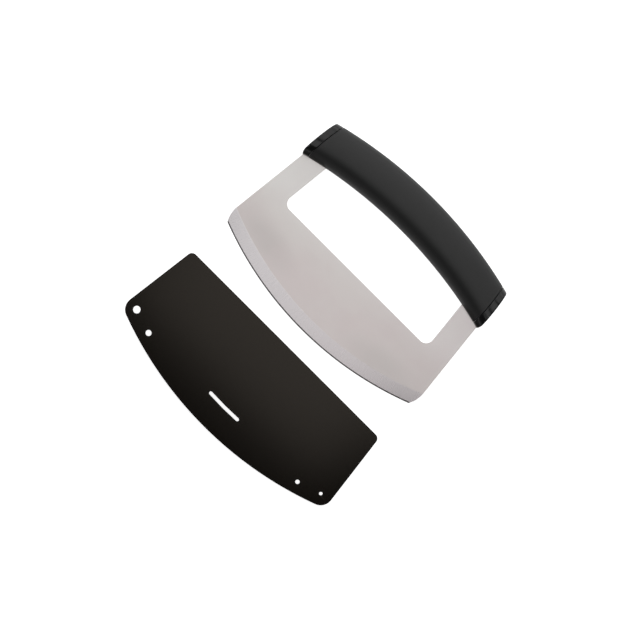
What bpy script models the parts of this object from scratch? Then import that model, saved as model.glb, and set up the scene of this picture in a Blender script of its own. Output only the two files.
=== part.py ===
"""Mezzaluna: a one-handed rocking chopper and the separate cover of its blade.

Metres, +Z up. The blade lies flat: +X runs along it, +Y from its cutting edge to the handle. The lowest
side of the handle is at Z = 0, so the blade floats half the handle's depth above it. The cover lies in the
blade's own plane, drawn off along -Y. The origin is in the middle of both, level with the handle's lowest
side.
"""

import math

import bmesh
import bpy
from mathutils import Matrix, Vector
from mathutils.geometry import intersect_line_sphere_2d

# Blade
BLADE_THICKNESS = 0.0012
BLADE_HEIGHT = 0.0503  # from the lowest point of the cutting edge to the hand window
BLADE_HALF_WIDTH = 0.0900  # of the side lines, level with the lowest point of the cutting edge
SIDE_LEAN = math.radians(6.25)
EDGE_RADIUS = 0.2356
EDGE_END_INSET = 0.0055  # from the foot of the side line to the end of the cutting edge
CORNER_RADIUS = 0.0184
GRIND_WIDTH = 0.0092
EDGE_LAND = 0.0003  # thickness left at the ground edge
ARM_WIDTH = 0.0174
WINDOW_LEAN = math.radians(5.9)
WINDOW_CORNER_RADIUS = 0.0056
SHOULDER_DEPTH = 0.0060  # how far the full width of an arm goes into the handle
TANG_WIDTH = 0.0104

# Handle
FINGER_ROOM = 0.04245  # from the blade to the middle of the grip
GRIP_HEIGHT = 0.0298  # in the blade's plane
GRIP_DEPTH = 0.0260  # square to the blade
GRIP_OUTER_RADIUS = 0.3129
GRIP_INNER_RADIUS = 0.3300
GRIP_ROUNDNESS = 2.25  # 2 is an ellipse, more is squarer
END_OVERHANG = 0.0017  # from the blade's side line to the handle's end
END_BULGE = 0.0008
CAP_LENGTH = 0.0051
CAP_ROUNDING = 0.0018
SLEEVE_WALL = 0.0026

# Core inside the sleeve
CORE_WALL = 0.0022
TANG_END_WALL = 0.0028
SCREW_SPACING = 0.0280
SCREW_BLOCK_WIDTH = 0.0100

# Fasteners
SCREW_RADIUS = 0.00145
SCREW_HEAD_RADIUS = 0.0028
SCREW_HEAD_HEIGHT = 0.0019
SCREW_SINK = 0.0020  # from the core's back to the head
SCREW_END_WALL = 0.0035
SCREW_EDGE_DISTANCE = 0.0034  # from the end of the tang
RECESS_LENGTH = 0.0030
RECESS_WIDTH = 0.0008
RECESS_DEPTH = 0.0011
PIN_RADIUS = 0.0015
PIN_LENGTH = 0.0100
PIN_CHAMFER = 0.0003
PIN_EDGE_DISTANCE = 0.0032  # from the shoulder of the tang

# Prongs that hold the end caps
PRONG_LENGTH = 0.0050
PRONG_WIDTH = 0.0080
PRONG_THICKNESS = 0.0028
PRONG_RISE = 0.0022  # from the blade's mid-plane to the prong
PRONG_ROOT = 0.0020  # how far a prong runs into its cap
BARB_HEIGHT = 0.0006
BARB_LENGTH = 0.0016

# Cover
COVER_GAP = 0.01425  # from the cutting edge to the mouth of the cover that is drawn off
COVER_WALL = 0.0016
COVER_LEAN = math.radians(7.24)
COVER_EDGE_RADIUS = 0.2552
COVER_MOUTH_CORNER = 0.0037
COVER_TIP_CORNER = 0.0086
COVER_ROUNDING = 0.0003
COVER_BAND = 0.0257  # solid band between the pocket and the lower edge
POCKET_CLEARANCE = 0.0004  # on each face of the blade
POCKET_SIDE_CLEARANCE = 0.0006
POCKET_END_CLEARANCE = 0.0010
SEAT_MARGIN = 0.0006  # blade left bare under the hand window when the cover is on
SIDE_WALL_START = 0.0010  # where the side wall would be thinner, the side is open
MOUTH_LEAD = 0.0006
MOUTH_LEAD_LENGTH = 0.0016
RIB_CLEARANCE = 0.00015
RIB_WIDTH = 0.0012
RIB_LENGTH = 0.0300
RIB_SPACING = 0.0450  # from the middle
RIB_SETBACK = 0.0040  # from the mouth
HOLE_INSET = 0.0078  # from the lower edge
OUTER_HOLE_SETBACK = 0.0064  # along the lower edge, from where its arc meets the side line
INNER_HOLE_SETBACK = 0.0242
LEFT_HOLE_RADII = (0.00255, 0.00205)  # outer, inner
RIGHT_HOLE_RADII = (0.0012, 0.0015)
SLOT_INSET = 0.0184
SLOT_LENGTH = 0.0270
SLOT_WIDTH = 0.0024
POST_INSET = 0.0150
POST_SETBACK = 0.0100
POST_SPACING = 0.0285
POSTS_A_SIDE = 3
POST_RADIUS = 0.0015
POST_HEIGHT = 0.0016

# Fits and fineness
FIT_GAP = 0.0003  # between pieces that touch
CUT_MARGIN = 0.0050  # how far a cutter runs past what it cuts
RING_STEPS = 28
GRIP_STEPS = 14
ROUNDING_STEPS = 4
TURN_STEPS = 16
GRIND_STEPS = 180
EDGE_STEPS = 11
CORNER_STEPS = 6
HOLE_STEPS = 20

# Places that follow, from the lowest point of the cutting edge, in the blade's mid-plane
GRIP_BASE = BLADE_HEIGHT + FINGER_ROOM
CROWN = GRIP_BASE + GRIP_HEIGHT
EDGE_CENTRE = Vector((0, EDGE_RADIUS))
GRIP_INNER_CENTRE = Vector((0, GRIP_BASE - GRIP_INNER_RADIUS))
GRIP_OUTER_CENTRE = Vector((0, CROWN - GRIP_OUTER_RADIUS))
CORE_INSET = SLEEVE_WALL + FIT_GAP
CORE_HALF_DEPTH = GRIP_DEPTH / 2 - CORE_INSET

# Places that follow, from the middle of the cover's mouth, in the blade's mid-plane
POCKET_DEPTH = BLADE_HEIGHT - SEAT_MARGIN + POCKET_END_CLEARANCE
COVER_HEIGHT = POCKET_DEPTH + COVER_BAND
COVER_EDGE_CENTRE = Vector((0, COVER_EDGE_RADIUS - COVER_HEIGHT))
POCKET_HALF_THICKNESS = BLADE_THICKNESS / 2 + POCKET_CLEARANCE
COVER_HALF_THICKNESS = POCKET_HALF_THICKNESS + COVER_WALL

# Places that follow, in the whole object's frame
EDGE_Y = (COVER_GAP + COVER_HEIGHT - CROWN) / 2
MIDDLE_Z = GRIP_DEPTH / 2


# Outlines

def arc(centre, radius, start, end, steps):
    """Points along an arc, both ends included."""
    angles = [start + (end - start) * step / steps for step in range(steps + 1)]
    return [centre + radius * Vector((math.cos(angle), math.sin(angle))) for angle in angles]


def direction(start, end):
    """Angle of the way from one point to another."""
    return math.atan2(end.y - start.y, end.x - start.x)


def line_meets_circle(foot, lean, centre, radius, highest=True):
    """Where a line that leans inwards from a point on the X axis meets a circle, at its high or low end."""
    ends = Vector((foot, 0)), Vector((foot - math.tan(lean), 1))
    points = intersect_line_sphere_2d(*ends, centre, radius, False)
    return sorted(points, key=lambda point: point.y)[-1 if highest else 0]


def mirrored(half):
    """A closed outline from its right half, which starts on the Y axis."""
    return half + [Vector((-point.x, point.y)) for point in reversed(half) if point.x > 0]


def side_x(y):
    """The blade's side line."""
    return BLADE_HALF_WIDTH - math.tan(SIDE_LEAN) * y


def window_x(y):
    """The hand window's side line, which the inner side of the tang continues."""
    return side_x(BLADE_HEIGHT) - ARM_WIDTH - math.tan(WINDOW_LEAN) * (y - BLADE_HEIGHT)


def shoulder_y():
    """The tang's shoulder, a set depth above the grip's inner edge."""
    foot = window_x(0) + ARM_WIDTH / 2
    entry = line_meets_circle(foot, WINDOW_LEAN, GRIP_INNER_CENTRE, GRIP_INNER_RADIUS)
    return entry.y + SHOULDER_DEPTH


def tang_end_y():
    """The tang's end, a set wall below the top of the core."""
    foot = window_x(0) + TANG_WIDTH
    skin = GRIP_OUTER_RADIUS - CORE_INSET - TANG_END_WALL
    return line_meets_circle(foot, WINDOW_LEAN, GRIP_OUTER_CENTRE, skin).y


def tang_middle(y):
    """The middle of the right tang at a height."""
    return Vector((window_x(y) + TANG_WIDTH / 2, y))


def tang_outline(clearance):
    """The right tang from its shoulder to its inner side, grown by a clearance."""
    shoulder = shoulder_y()
    end = tang_end_y()
    return [
        Vector((side_x(shoulder) + clearance, shoulder + clearance)),
        Vector((window_x(shoulder) + TANG_WIDTH + clearance, shoulder + clearance)),
        Vector((window_x(end) + TANG_WIDTH + clearance, end + clearance)),
        Vector((window_x(end) - clearance, end + clearance)),
    ]


def blade_corner():
    """Centre of the round corner between the cutting edge and the right side."""
    edge_half_span = BLADE_HALF_WIDTH - EDGE_END_INSET
    edge_end = line_meets_circle(edge_half_span, 0, EDGE_CENTRE, EDGE_RADIUS, highest=False)
    foot = BLADE_HALF_WIDTH - CORNER_RADIUS / math.cos(SIDE_LEAN)
    return line_meets_circle(foot, SIDE_LEAN, edge_end, CORNER_RADIUS), edge_end


def blade_reach():
    """Half the blade's greatest width."""
    return blade_corner()[0].x + CORNER_RADIUS


def blade_outline():
    """The blade from above, with both arms and tangs."""
    corner, edge_end = blade_corner()
    window_corner_y = BLADE_HEIGHT + WINDOW_CORNER_RADIUS
    window_corner_x = window_x(window_corner_y) - WINDOW_CORNER_RADIUS / math.cos(WINDOW_LEAN)
    window_corner = Vector((window_corner_x, window_corner_y))
    edge_angle = direction(EDGE_CENTRE, edge_end)
    half = arc(EDGE_CENTRE, EDGE_RADIUS, -math.pi / 2, edge_angle, EDGE_STEPS)
    half += arc(corner, CORNER_RADIUS, direction(corner, edge_end), SIDE_LEAN, CORNER_STEPS)[1:]
    half += tang_outline(0)
    half += arc(window_corner, WINDOW_CORNER_RADIUS, WINDOW_LEAN, -math.pi / 2, CORNER_STEPS)
    half[0].x = 0
    return mirrored(half)


def circle(centre, radius):
    """A round hole's outline, run the other way round than an outer outline."""
    return arc(centre, radius, 2 * math.pi, 0, HOLE_STEPS)[:-1]


def cover_side_foot():
    """Where the cover's side line starts: its mouth is as wide as the blade."""
    return blade_reach()


def cover_outline():
    """The cover from above."""
    foot = cover_side_foot()
    inset = COVER_TIP_CORNER / math.cos(COVER_LEAN)
    tip_reach = COVER_EDGE_RADIUS - COVER_TIP_CORNER
    tip = line_meets_circle(foot - inset, COVER_LEAN, COVER_EDGE_CENTRE, tip_reach, highest=False)
    mouth_x = foot + (math.tan(COVER_LEAN) - 1 / math.cos(COVER_LEAN)) * COVER_MOUTH_CORNER
    mouth = Vector((mouth_x, -COVER_MOUTH_CORNER))
    tip_angle = direction(COVER_EDGE_CENTRE, tip)
    half = arc(COVER_EDGE_CENTRE, COVER_EDGE_RADIUS, -math.pi / 2, tip_angle, EDGE_STEPS)
    half += arc(tip, COVER_TIP_CORNER, tip_angle, COVER_LEAN, CORNER_STEPS)[1:]
    half += arc(mouth, COVER_MOUTH_CORNER, COVER_LEAN, math.pi / 2, CORNER_STEPS)
    half[0].x = 0
    return mirrored(half)


def on_cover_arc(angle, inset):
    """A point a set distance inside the cover's lower edge."""
    way = Vector((math.sin(angle), -math.cos(angle)))
    return COVER_EDGE_CENTRE + (COVER_EDGE_RADIUS - inset) * way


def angle_from_tip(setback):
    """Angle on the lower edge's arc, a set length along it from where it meets the side line."""
    foot = cover_side_foot()
    tip = line_meets_circle(foot, COVER_LEAN, COVER_EDGE_CENTRE, COVER_EDGE_RADIUS, highest=False)
    return math.asin(tip.x / COVER_EDGE_RADIUS) - setback / COVER_EDGE_RADIUS


def cover_holes():
    """The middle and the radius of each hole near the cover's tips."""
    holes = []
    for side, radii in ((-1, LEFT_HOLE_RADII), (1, RIGHT_HOLE_RADII)):
        for setback, radius in zip((OUTER_HOLE_SETBACK, INNER_HOLE_SETBACK), radii):
            holes.append((on_cover_arc(side * angle_from_tip(setback), HOLE_INSET), radius))
    return holes


def post_places():
    """The middle of each post that locates the two shells."""
    setbacks = [POST_SETBACK + POST_SPACING * step for step in range(POSTS_A_SIDE)]
    angles = [side * angle_from_tip(setback) for side in (-1, 1) for setback in setbacks]
    return [on_cover_arc(angle, POST_INSET) for angle in angles]


def slot_outline():
    """The curved slot near the lower edge, run the other way round than an outer outline."""
    half_width = SLOT_WIDTH / 2
    swing = (SLOT_LENGTH / 2 - half_width) / (COVER_EDGE_RADIUS - SLOT_INSET)
    ends = []
    for side, start in ((swing, swing - math.pi / 2), (-swing, math.pi / 2 - swing)):
        ends.append(arc(on_cover_arc(side, SLOT_INSET), half_width, start, start + math.pi, CORNER_STEPS))
    outer_middle = on_cover_arc(0, SLOT_INSET - half_width)
    inner_middle = on_cover_arc(0, SLOT_INSET + half_width)
    return [outer_middle, *ends[0], inner_middle, *ends[1]][::-1]


def pocket_outline():
    """The cover's pocket: it follows the cutting edge, and its sides are open near the mouth."""
    side = blade_reach() + POCKET_SIDE_CLEARANCE
    radius = EDGE_RADIUS + POCKET_END_CLEARANCE
    centre = Vector((0, radius - POCKET_DEPTH))
    corner = line_meets_circle(side, 0, centre, radius, highest=False)
    open_y = -(side + SIDE_WALL_START - cover_side_foot()) / math.tan(COVER_LEAN)
    outside = side + CUT_MARGIN
    half = arc(centre, radius, -math.pi / 2, direction(centre, corner), EDGE_STEPS)
    half[0].x = 0
    half.append(Vector((side, open_y)))
    half.append(Vector((outside, open_y + CUT_MARGIN * math.tan(COVER_LEAN))))
    half.append(Vector((outside, CUT_MARGIN)))
    return mirrored(half)


def prong_outline(clearance):
    """Side view of a cap's prong at the right end, in front of the blade, grown by a clearance."""
    tip = seam_x() - PRONG_LENGTH - clearance
    catch = seam_x() - PRONG_LENGTH + BARB_LENGTH + clearance
    root = seam_x() + PRONG_ROOT
    low = PRONG_RISE - clearance
    high = PRONG_RISE + PRONG_THICKNESS + clearance
    return [
        Vector((root, low)),
        Vector((root, high)),
        Vector((catch, high)),
        Vector((catch, high + BARB_HEIGHT)),
        Vector((tip, high - BARB_HEIGHT)),
        Vector((tip, low)),
    ]


# Sections of the handle

def grip_middle(share):
    """Middle and half height of the handle's section at a share of the way to its end."""
    foot = share * (BLADE_HALF_WIDTH + END_OVERHANG)
    lean = math.atan(share * math.tan(SIDE_LEAN))
    inner = line_meets_circle(foot, lean, GRIP_INNER_CENTRE, GRIP_INNER_RADIUS)
    outer = line_meets_circle(foot, lean, GRIP_OUTER_CENTRE, GRIP_OUTER_RADIUS)
    return (inner + outer) / 2, (outer - inner) / 2


def end_x(y):
    """The handle's end line, which runs beside the blade's side line."""
    return side_x(y) + END_OVERHANG


def share_of(x):
    """The share of the way to the handle's end at a distance from the middle."""
    return x / end_x(GRIP_BASE)


def seam_share():
    """Where the sleeve ends and the cap starts."""
    return 1 - CAP_LENGTH / end_x(CROWN - GRIP_HEIGHT / 2)


def seam_x():
    """The seam on the handle's middle line, its bulge included."""
    return grip_middle(seam_share())[0].x + END_BULGE


def section(share, inset):
    """The handle's section at a share of the way to its end, drawn in by an inset."""
    middle, half = grip_middle(share)
    height = half.length - inset
    depth = GRIP_DEPTH / 2 - inset
    ring = []
    for step in range(RING_STEPS):
        angle = 2 * math.pi * step / RING_STEPS
        up, out = rounded(math.cos(angle)), rounded(math.sin(angle))
        point = middle + half.normalized() * height * up
        bulge = share * END_BULGE * (1 - up * up)
        ring.append(Vector((point.x + bulge, point.y, depth * out)))
    return ring


def rounded(ratio):
    """One coordinate of a superellipse."""
    return math.copysign(abs(ratio) ** (2 / GRIP_ROUNDNESS), ratio)


def shares(start, end, steps):
    """Even shares from one to another, both included."""
    return [start + (end - start) * step / steps for step in range(steps + 1)]


# Making objects

def clear_scene():
    """Empty the scene without closing the file."""
    for item in list(bpy.data.objects):
        bpy.data.objects.remove(item, do_unlink=True)


def collection(name):
    """A new collection in the scene."""
    made = bpy.data.collections.new(name)
    bpy.context.scene.collection.children.link(made)
    return made


def material(name, colour, roughness, metallic=0.0):
    """A plain surface of one colour."""
    made = bpy.data.materials.new(name)
    made.use_nodes = True
    shader = made.node_tree.nodes["Principled BSDF"]
    shader.inputs["Base Color"].default_value = (*colour, 1)
    shader.inputs["Roughness"].default_value = roughness
    shader.inputs["Metallic"].default_value = metallic
    made.diffuse_color = (*colour, 1)
    return made


def mesh_from(name, geometry):
    """A mesh with outward faces, smooth except at its sharp edges."""
    bmesh.ops.recalc_face_normals(geometry, faces=geometry.faces)
    mesh = bpy.data.meshes.new(name)
    geometry.to_mesh(mesh)
    geometry.free()
    mesh.shade_smooth()
    mesh.set_sharp_from_angle(angle=math.radians(30))
    return mesh


def plate_mesh(name, outlines, half_thickness, rounding=0.0):
    """A flat solid from its outer outline and its holes, centred on its own plane."""
    curve = bpy.data.curves.new(name, "CURVE")
    curve.dimensions = "2D"
    curve.fill_mode = "BOTH"
    curve.extrude = half_thickness - rounding
    curve.bevel_depth = rounding
    curve.bevel_resolution = 1
    curve.offset = -rounding
    for outline in outlines:
        spline = curve.splines.new("POLY")
        spline.points.add(len(outline) - 1)
        for place, point in zip(spline.points, outline):
            place.co = (point.x, point.y, 0, 1)
        spline.use_cyclic_u = True
    guide = bpy.data.objects.new(name, curve)
    bpy.context.scene.collection.objects.link(guide)
    filled = bpy.data.meshes.new_from_object(guide.evaluated_get(bpy.context.evaluated_depsgraph_get()))
    bpy.data.objects.remove(guide)
    geometry = bmesh.new()
    geometry.from_mesh(filled)
    bpy.data.meshes.remove(filled)
    bmesh.ops.remove_doubles(geometry, verts=geometry.verts, dist=1e-6)
    return mesh_from(name, geometry)


def loft_mesh(name, rings):
    """A closed solid through rings of equal count, its ends closed by strips across each ring."""
    geometry = bmesh.new()
    loops = [[geometry.verts.new(point) for point in ring] for ring in rings]
    count = len(loops[0])
    for near, far in zip(loops, loops[1:]):
        for step in range(count):
            after = (step + 1) % count
            geometry.faces.new((near[step], near[after], far[after], far[step]))
    for loop in (loops[0], loops[-1]):
        for step in range(count // 2):
            strip = (loop[step], loop[step + 1], loop[count - step - 1], loop[-step])
            geometry.faces.new(dict.fromkeys(strip))
    return mesh_from(name, geometry)


def box_mesh(name, low, high):
    """A box between two corners."""
    geometry = bmesh.new()
    size = Vector(high) - Vector(low)
    centre = (Vector(high) + Vector(low)) / 2
    bmesh.ops.create_cube(geometry, size=1, matrix=Matrix.Translation(centre) @ Matrix.Diagonal((*size, 1)))
    return mesh_from(name, geometry)


def rod_mesh(name, radius, low, high):
    """A round rod along Z."""
    geometry = bmesh.new()
    bmesh.ops.create_cone(
        geometry,
        cap_ends=True,
        segments=TURN_STEPS,
        radius1=radius,
        radius2=radius,
        depth=high - low,
        matrix=Matrix.Translation((0, 0, (low + high) / 2)),
    )
    return mesh_from(name, geometry)


def profile_mesh(name, profiles, closed):
    """Lines at +X for a Screw modifier, each run down its outer side."""
    mesh = bpy.data.meshes.new(name)
    points = [(x, 0, z) for profile in profiles for x, z in profile]
    edges = []
    start = 0
    for profile in profiles:
        count = len(profile)
        edges += [(start + step, start + step + 1) for step in range(count - 1)]
        if closed:
            edges.append((start + count - 1, start))
        start += count
    mesh.from_pydata(points, edges, [])
    return mesh


def turn(item, steps):
    """Revolve a profile about the object's Z axis."""
    screw = item.modifiers.new("turn", "SCREW")
    screw.steps = steps
    screw.render_steps = steps
    screw.use_merge_vertices = True
    screw.merge_threshold = 0.00001


def boolean(item, operation, other):
    """Cut, join or trim an object with another."""
    modifier = item.modifiers.new(f"{operation.lower()} {other.name}", "BOOLEAN")
    modifier.operation = operation
    modifier.solver = "EXACT"
    modifier.object = other


def cut(item, *cutters):
    """Cut an object with each cutter."""
    for cutter in cutters:
        boolean(item, "DIFFERENCE", cutter)


def join(item, *guides):
    """Join each guide's shape to an object."""
    for guide in guides:
        boolean(item, "UNION", guide)


def keep(item, guide):
    """Keep what of an object lies inside a guide."""
    boolean(item, "INTERSECT", guide)


class Bench:
    """Where parts and cutters are put: a frame to parent them to, and their two collections."""

    def __init__(self, frame, parts, cutters):
        self.frame = frame
        self.parts = parts
        self.cutters = cutters

    def part(self, name, mesh, finish, location=(0, 0, 0)):
        """A piece of the object, with its material."""
        made = bpy.data.objects.new(name, mesh)
        self.parts.objects.link(made)
        made.parent = self.frame
        made.location = location
        if not mesh.materials:
            mesh.materials.append(finish)
        return made

    def cutter(self, name, mesh, location=(0, 0, 0), rotation=(0, 0, 0)):
        """A shape that only cuts or joins others."""
        made = bpy.data.objects.new(f"cutter_{name}", mesh)
        self.cutters.objects.link(made)
        made.parent = self.frame
        made.location = location
        made.rotation_euler = rotation
        made.hide_render = True
        made.display_type = "WIRE"
        return made


# Fasteners

def screw_profile(clearance):
    """A screw from its tip down to its head at the back, grown by a clearance."""
    radius = SCREW_RADIUS + clearance
    head = SCREW_HEAD_RADIUS + clearance
    tip = CORE_HALF_DEPTH - SCREW_END_WALL + clearance
    back = -CORE_HALF_DEPTH + SCREW_SINK
    seat = back + SCREW_HEAD_HEIGHT + clearance
    if clearance:
        back = -CORE_HALF_DEPTH - CUT_MARGIN
    shank = [(0, tip), (radius / 2, tip), (radius, tip - radius), (radius, seat)]
    return shank + [(head, seat), (head, back), (0, back)]


def pin_profile(clearance):
    """A chamfered dowel, grown by a clearance."""
    radius = PIN_RADIUS + clearance
    half = PIN_LENGTH / 2 + clearance
    return [
        (0, half),
        (radius - PIN_CHAMFER, half),
        (radius, half - PIN_CHAMFER),
        (radius, PIN_CHAMFER - half),
        (radius - PIN_CHAMFER, -half),
        (0, -half),
    ]


def screw_places():
    """The name and the place of each screw."""
    places = {}
    for name, x in (("left", -SCREW_SPACING), ("middle", 0), ("right", SCREW_SPACING)):
        places[f"core_screw_{name}"] = grip_middle(share_of(x))[0]
    tang = tang_middle(tang_end_y() - SCREW_EDGE_DISTANCE)
    places["tang_screw_left"] = Vector((-tang.x, tang.y))
    places["tang_screw_right"] = tang
    return places


def pin_places():
    """The name and the place of each tang pin."""
    tang = tang_middle(shoulder_y() + PIN_EDGE_DISTANCE)
    return {"tang_pin_left": Vector((-tang.x, tang.y)), "tang_pin_right": tang}


def screw_mesh(bench):
    """One screw with its cross recess, for all of them to share."""
    half_length, half_width = RECESS_LENGTH / 2, RECESS_WIDTH / 2
    quarter = [(half_length, -half_width), (half_length, half_width), (half_width, half_width)]
    cross = []
    for step in range(4):
        turned = Matrix.Rotation(step * math.pi / 2, 2)
        cross += [turned @ Vector(point) for point in quarter]
    back = -CORE_HALF_DEPTH + SCREW_SINK
    recess = bench.cutter("recess", plate_mesh("recess", [cross], RECESS_DEPTH), location=(0, 0, back))
    blank = bench.cutter("screw_blank", profile_mesh("screw_blank", [screw_profile(0)], closed=False))
    turn(blank, TURN_STEPS)
    cut(blank, recess)
    mesh = bpy.data.meshes.new_from_object(blank.evaluated_get(bpy.context.evaluated_depsgraph_get()))
    mesh.name = "screw"
    mesh.shade_smooth()
    mesh.set_sharp_from_angle(angle=math.radians(30))
    bpy.data.objects.remove(blank)
    return mesh


def build_fasteners(bench, steel):
    """The screws and pins, and the cutters of their holes."""
    screw = screw_mesh(bench)
    holes = []
    for name, place in screw_places().items():
        location = (place.x, place.y, 0)
        bench.part(name, screw, steel, location)
        profile = profile_mesh(f"{name}_hole", [screw_profile(FIT_GAP)], closed=False)
        holes.append(bench.cutter(f"{name}_hole", profile, location))
    for name, place in pin_places().items():
        location = (place.x, place.y, 0)
        pin = bench.part(name, profile_mesh(name, [pin_profile(0)], closed=False), steel, location)
        turn(pin, TURN_STEPS)
        profile = profile_mesh(f"{name}_hole", [pin_profile(FIT_GAP)], closed=False)
        holes.append(bench.cutter(f"{name}_hole", profile, location))
    for hole in holes:
        turn(hole, TURN_STEPS)
    return holes


# The knife

def grind_mesh():
    """Rings that grind both faces of the blade down to the cutting edge."""
    slope = (BLADE_THICKNESS - EDGE_LAND) / 2 / GRIND_WIDTH
    inner = EDGE_RADIUS - GRIND_WIDTH - CUT_MARGIN
    outer = EDGE_RADIUS + CUT_MARGIN / 2
    inner_z = BLADE_THICKNESS / 2 + slope * CUT_MARGIN
    outer_z = EDGE_LAND / 2 - slope * CUT_MARGIN / 2
    top = BLADE_THICKNESS / 2 + CUT_MARGIN
    front = [(outer, top), (outer, outer_z), (inner, inner_z), (inner, top)]
    back = [(x, -z) for x, z in reversed(front)]
    return profile_mesh("grind", [front, back], closed=True)


def build_blade(bench, steel):
    """The stamped plate: cutting edge, arms, and tangs with a pin hole and a screw hole each."""
    outlines = [blade_outline()]
    outlines += [circle(place, PIN_RADIUS + FIT_GAP) for place in pin_places().values()]
    tang_screws = [place for name, place in screw_places().items() if name.startswith("tang")]
    outlines += [circle(place, SCREW_RADIUS + FIT_GAP) for place in tang_screws]
    mesh = plate_mesh("blade", outlines, BLADE_THICKNESS / 2)
    geometry = bmesh.new()
    geometry.from_mesh(mesh)
    everything = [*geometry.verts, *geometry.edges, *geometry.faces]
    below_window = (0, BLADE_HEIGHT - WINDOW_CORNER_RADIUS, 0)
    bmesh.ops.bisect_plane(geometry, geom=everything, plane_co=below_window, plane_no=(0, 1, 0))
    geometry.to_mesh(mesh)
    geometry.free()
    blade = bench.part("blade", mesh, steel)
    grind = bench.cutter("grind", grind_mesh(), location=(0, EDGE_RADIUS, 0))
    turn(grind, GRIND_STEPS)
    cut(blade, grind)


def tang_slots(bench):
    """Cutters for the slots that the arms and tangs pass through."""
    half_thickness = BLADE_THICKNESS / 2 + FIT_GAP
    slots = []
    for name, side in (("left", -1), ("right", 1)):
        outline = [
            Vector((window_x(BLADE_HEIGHT) - FIT_GAP, BLADE_HEIGHT)),
            Vector((side_x(BLADE_HEIGHT) + FIT_GAP, BLADE_HEIGHT)),
            *tang_outline(FIT_GAP),
        ]
        outline = [Vector((side * point.x, point.y)) for point in outline]
        slots.append(bench.cutter(f"tang_slot_{name}", plate_mesh("tang_slot", [outline], half_thickness)))
    return slots


def prongs(bench, kind, side, clearance):
    """A pair of prongs, or of their sockets, at one end of the handle."""
    middle = grip_middle(seam_share())[0]
    made = []
    for name, face in (("front", 1), ("back", -1)):
        outline = [Vector((side * point.x, face * point.y)) for point in prong_outline(clearance)]
        mesh = plate_mesh(kind, [outline], PRONG_WIDTH / 2 + clearance)
        location = (0, middle.y, 0)
        made.append(bench.cutter(f"{kind}_{name}", mesh, location, rotation=(math.pi / 2, 0, 0)))
    return made


def core_cavities(bench):
    """Cutters that hollow the core between its screw blocks and tang blocks."""
    inset = CORE_INSET + CORE_WALL
    half_block = SCREW_BLOCK_WIDTH / 2
    limit = window_x(tang_end_y()) - FIT_GAP - CORE_WALL
    spans = {"inner": (half_block, SCREW_SPACING - half_block), "outer": (SCREW_SPACING + half_block, limit)}
    cavities = []
    for name, (near, far) in spans.items():
        for side_name, side in (("left", -1), ("right", 1)):
            places = shares(share_of(side * near), share_of(side * far), GRIP_STEPS // 4)
            mesh = loft_mesh(f"cavity_{name}", [section(place, inset) for place in places])
            cavities.append(bench.cutter(f"cavity_{name}_{side_name}", mesh))
    return cavities


def build_core(bench, slots, holes, plastic):
    """The two rigid halves that clamp the tangs."""
    end = seam_share()
    rings = [section(share, CORE_INSET) for share in shares(-end, end, GRIP_STEPS)]
    reach = BLADE_HALF_WIDTH + CUT_MARGIN
    cavities = core_cavities(bench)
    sockets = prongs(bench, "socket_left", -1, FIT_GAP) + prongs(bench, "socket_right", 1, FIT_GAP)
    for name, face in (("front", 1), ("back", -1)):
        core = bench.part(f"core_{name}", loft_mesh(f"core_{name}", rings), plastic)
        parting, far = sorted((face * FIT_GAP / 2, face * GRIP_DEPTH))
        half_space = box_mesh("core_side", (-reach, 0, parting), (reach, CROWN + CUT_MARGIN, far))
        keep(core, bench.cutter(f"core_side_{name}", half_space))
        cut(core, *cavities, *slots, *holes)
        cut(core, *(socket for socket in sockets if socket.name.endswith(name)))


def build_sleeve(bench, slots, soft):
    """The soft grip round the core, open at both ends."""
    end = seam_share()
    places = shares(-end, end, GRIP_STEPS)
    past = end + share_of(CUT_MARGIN / 2)
    skin = loft_mesh("grip_sleeve", [section(place, 0) for place in places])
    bore = loft_mesh("sleeve_bore", [section(place, SLEEVE_WALL) for place in (-past, *places, past)])
    sleeve = bench.part("grip_sleeve", skin, soft)
    cut(sleeve, bench.cutter("sleeve_bore", bore), *slots)


def build_end_cap(bench, side_name, side, slots, gloss):
    """A rigid cap with two barbed prongs, rounded at its outer end."""
    full = end_x(CROWN - GRIP_HEIGHT / 2)
    rings = [section(side * (seam_share() + FIT_GAP / full), 0)]
    for step in range(ROUNDING_STEPS + 1):
        angle = math.pi / 2 * step / ROUNDING_STEPS
        share = 1 - CAP_ROUNDING * (1 - math.sin(angle)) / full
        rings.append(section(side * share, CAP_ROUNDING * (1 - math.cos(angle))))
    cap = bench.part(f"end_cap_{side_name}", loft_mesh(f"end_cap_{side_name}", rings), gloss)
    join(cap, *prongs(bench, f"prong_{side_name}", side, 0))
    cut(cap, *slots)


# The cover

def cover_ribs(bench):
    """Shapes of the guide ribs in the pocket, which keep the blade off its walls."""
    rib_face = BLADE_THICKNESS / 2 + RIB_CLEARANCE
    wall = POCKET_HALF_THICKNESS + COVER_WALL / 2
    ribs = []
    for name, face in (("front", 1), ("back", -1)):
        low, high = sorted((face * rib_face, face * wall))
        for side_name, x in (("left", -RIB_SPACING), ("right", RIB_SPACING)):
            near = (x - RIB_WIDTH / 2, -RIB_SETBACK - RIB_LENGTH, low)
            far = (x + RIB_WIDTH / 2, -RIB_SETBACK, high)
            ribs.append(bench.cutter(f"rib_{name}_{side_name}", box_mesh("rib", near, far)))
    return ribs


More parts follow.
